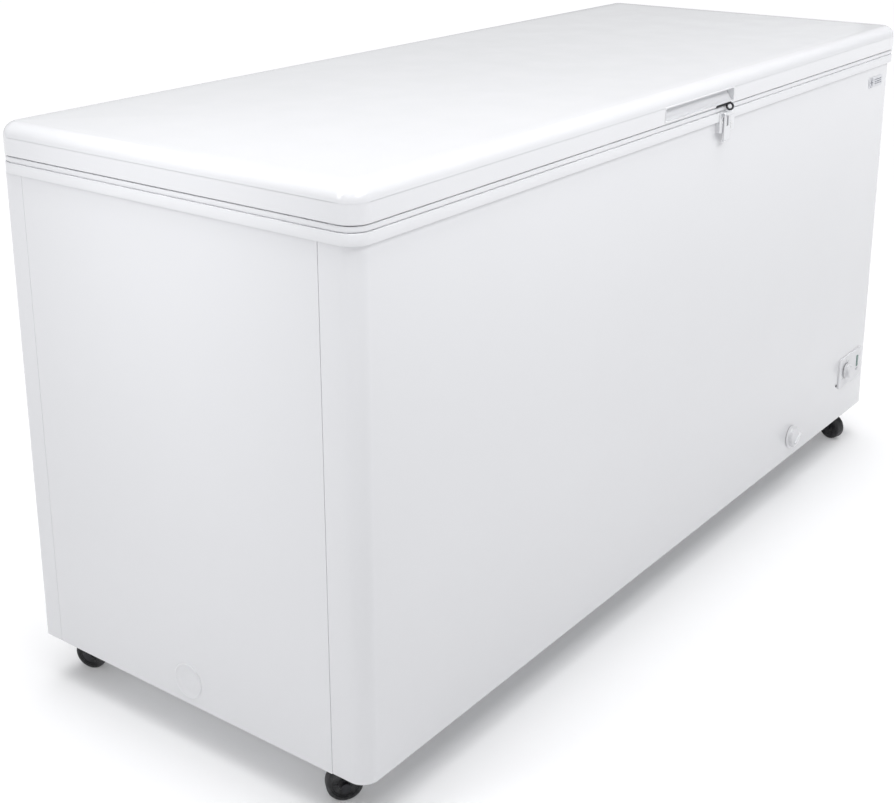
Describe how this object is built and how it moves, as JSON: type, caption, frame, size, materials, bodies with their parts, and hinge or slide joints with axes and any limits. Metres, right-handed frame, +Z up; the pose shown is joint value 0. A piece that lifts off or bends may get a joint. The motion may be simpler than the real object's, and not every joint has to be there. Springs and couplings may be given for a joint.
{
  "type": "chest freezer",
  "caption": "Long white chest freezer with a hinged foam lid, recessed handle, front hasp, dial control panel, drain cap, inner tank with basket and swivel casters.",
  "frame": {"origin": "on the floor, under the middle of the closed freezer's outline", "axes": "+X along the front to the control panel end, -Y out of the front, +Z up"},
  "size_m": [1.626, 0.6636, 0.85],
  "materials": {
    "white_enamel": "gloss",
    "liner_enamel": "satin",
    "zinc_sheet": "satin",
    "white_plastic": "satin",
    "foam": "matte",
    "green_lens": "gloss",
    "chrome_trim": "polished",
    "dark_plastic": "matte",
    "bright_steel": "satin",
    "dark_steel": "satin",
    "black_enamel": "satin",
    "black_rubber": "matte",
    "grey_rubber": "matte",
    "copper": "satin",
    "coated_wire": "satin",
    "wheel_rubber": "matte"
  },
  "bodies": {
    "cabinet": {"back_panel": "white_enamel", "badge": "chrome_trim", "base_rails": "white_enamel", "bottom_panel": "zinc_sheet", "cable_gland": "dark_plastic", "caster_plates": "dark_steel", "caster_screws": "bright_steel", "compressor": "black_enamel", "compressor_mounts": "black_rubber", "compressor_tray": "zinc_sheet", "condenser_tube": "copper", "control_panel": "white_plastic", "drain_tube": "dark_plastic", "evaporator_tube": "copper", "filter_drier": "copper", "foam_insulation": "foam", "foam_port_cap": "white_plastic", "front_panel": "white_enamel", "hasp_base": "white_plastic", "hasp_pin": "bright_steel", "hasp_screws": "bright_steel", "hinge_base_left": "bright_steel", "hinge_base_right": "bright_steel", "hinge_base_screws": "bright_steel", "hinge_pins": "bright_steel", "hinge_springs": "bright_steel", "indicator_lamp": "green_lens", "inner_liner": "liner_enamel", "left_side_panel": "white_enamel", "panel_screw": "bright_steel", "rear_vent_cover": "white_enamel", "right_side_panel": "white_enamel", "start_relay_cover": "dark_plastic", "suction_line": "copper", "thermostat_body": "dark_plastic", "top_trim": "white_plastic"},
    "lid": {"lid_skin": "white_enamel", "lid_foam": "foam", "lid_liner": "white_plastic", "lid_gasket": "grey_rubber", "handle_scoop": "white_plastic", "lid_staple": "dark_steel", "hinge_leaf_left": "bright_steel", "hinge_leaf_right": "bright_steel", "hinge_leaf_screws": "bright_steel"},
    "knob": {"thermostat_knob": "white_plastic", "thermostat_shaft": "bright_steel"},
    "hasp": {"hasp_arm": "white_plastic"},
    "drain_cap": {"drain_cap": "white_plastic"},
    "drain_plug": {"drain_plug": "white_plastic"},
    "basket": {"storage_basket": "coated_wire"},
    "swivel_front_left": {"caster_fork_front_left": "dark_steel"},
    "wheel_front_left": {"caster_wheel_front_left": "wheel_rubber"},
    "swivel_front_right": {"caster_fork_front_right": "dark_steel"},
    "wheel_front_right": {"caster_wheel_front_right": "wheel_rubber"},
    "swivel_back_left": {"caster_fork_back_left": "dark_steel"},
    "wheel_back_left": {"caster_wheel_back_left": "wheel_rubber"},
    "swivel_back_right": {"caster_fork_back_right": "dark_steel"},
    "wheel_back_right": {"caster_wheel_back_right": "wheel_rubber"}
  },
  "joints": [
    {"name": "basket_slide", "type": "slide", "parent": "cabinet", "child": "basket", "axis": [-1, 0, 0], "range_m": [0, 1.26]},
    {"name": "drain_cap_turn", "type": "hinge", "parent": "cabinet", "child": "drain_cap", "pos_m": [0.444, -0.312, 0.1125], "axis": [0, -1, 0], "range_deg": [0, 90]},
    {"name": "drain_plug_lift", "type": "slide", "parent": "cabinet", "child": "drain_plug", "axis": [0, 0, 1], "range_m": [0, 0.03]},
    {"name": "hasp_swing", "type": "hinge", "parent": "cabinet", "child": "hasp", "pos_m": [0.084, -0.3234, 0.7915], "axis": [-1, 0, 0], "range_deg": [0, 178]},
    {"name": "knob_turn", "type": "hinge", "parent": "cabinet", "child": "knob", "pos_m": [0.691, -0.315, 0.17], "axis": [0, -1, 0], "range_deg": [-150, 150]},
    {"name": "lid_hinge", "type": "hinge", "parent": "cabinet", "child": "lid", "pos_m": [0, 0.3253, 0.797], "axis": [-1, 0, 0], "range_deg": [0, 80]},
    {"name": "swivel_front_left", "type": "hinge", "parent": "cabinet", "child": "swivel_front_left", "pos_m": [-0.742, -0.252, 0.06], "axis": [0, 0, 1], "continuous": true},
    {"name": "swivel_front_right", "type": "hinge", "parent": "cabinet", "child": "swivel_front_right", "pos_m": [0.742, -0.252, 0.06], "axis": [0, 0, 1], "continuous": true},
    {"name": "swivel_back_left", "type": "hinge", "parent": "cabinet", "child": "swivel_back_left", "pos_m": [-0.742, 0.252, 0.06], "axis": [0, 0, 1], "continuous": true},
    {"name": "swivel_back_right", "type": "hinge", "parent": "cabinet", "child": "swivel_back_right", "pos_m": [0.742, 0.252, 0.06], "axis": [0, 0, 1], "continuous": true},
    {"name": "wheel_front_left", "type": "hinge", "parent": "swivel_front_left", "child": "wheel_front_left", "pos_m": [-0.76192, -0.23529, 0.025], "axis": [-0.6428, -0.766, 0], "continuous": true},
    {"name": "wheel_front_right", "type": "hinge", "parent": "swivel_front_right", "child": "wheel_front_right", "pos_m": [0.73527, -0.27711, 0.025], "axis": [0.9659, -0.2588, 0], "continuous": true},
    {"name": "wheel_back_left", "type": "hinge", "parent": "swivel_back_left", "child": "wheel_back_left", "pos_m": [-0.75089, 0.27643, 0.025], "axis": [-0.9397, -0.342, 0], "continuous": true},
    {"name": "wheel_back_right", "type": "hinge", "parent": "swivel_back_right", "child": "wheel_back_right", "pos_m": [0.71844, 0.24101, 0.025], "axis": [0.4226, -0.9063, 0], "continuous": true}
  ]
}
